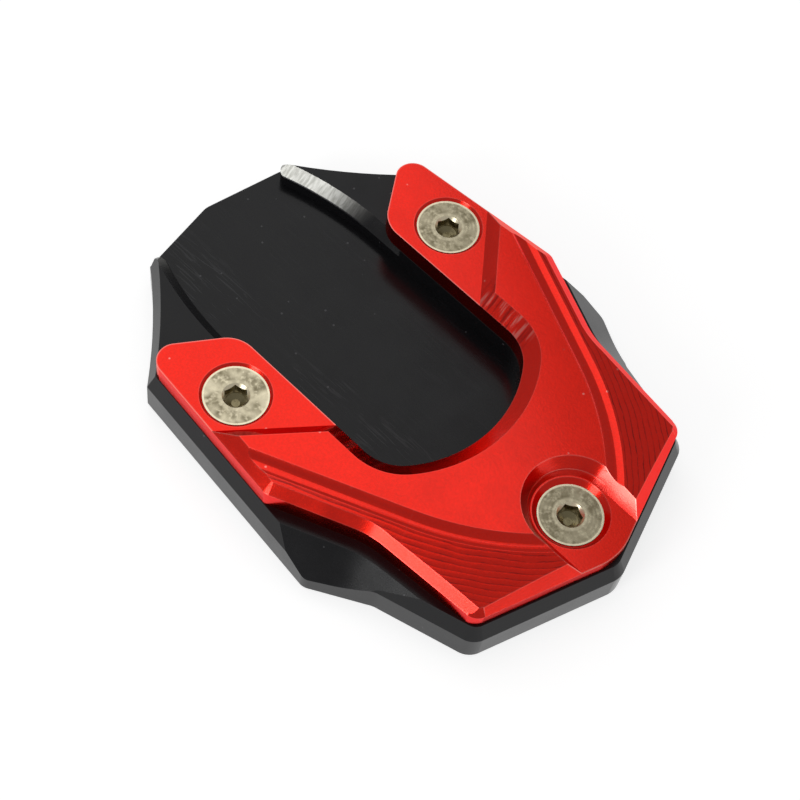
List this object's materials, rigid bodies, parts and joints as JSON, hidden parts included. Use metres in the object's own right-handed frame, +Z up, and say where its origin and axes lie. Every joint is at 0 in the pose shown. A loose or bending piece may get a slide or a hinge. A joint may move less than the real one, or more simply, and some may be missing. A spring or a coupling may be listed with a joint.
{
  "type": "motorcycle kickstand foot enlarger",
  "caption": "Two-plate foot enlarger that clamps round a motorcycle side stand's foot to spread its load on soft ground.",
  "frame": {"origin": "middle of the bounding box, on the ground plane under the base plate", "axes": "+X towards the closed nose, +Y to the left seen from the mouth, +Z up"},
  "size_m": [0.107, 0.08, 0.0158],
  "materials": {
    "base_black": "black anodised, satin",
    "clamp_red": "red anodised, satin",
    "screw_steel": "stainless steel, bright"
  },
  "bodies": {
    "root": {"base_plate": "base_black", "clamp_plate": "clamp_red", "screw_left": "screw_steel", "screw_right": "screw_steel", "screw_nose": "screw_steel"}
  },
  "joints": []
}
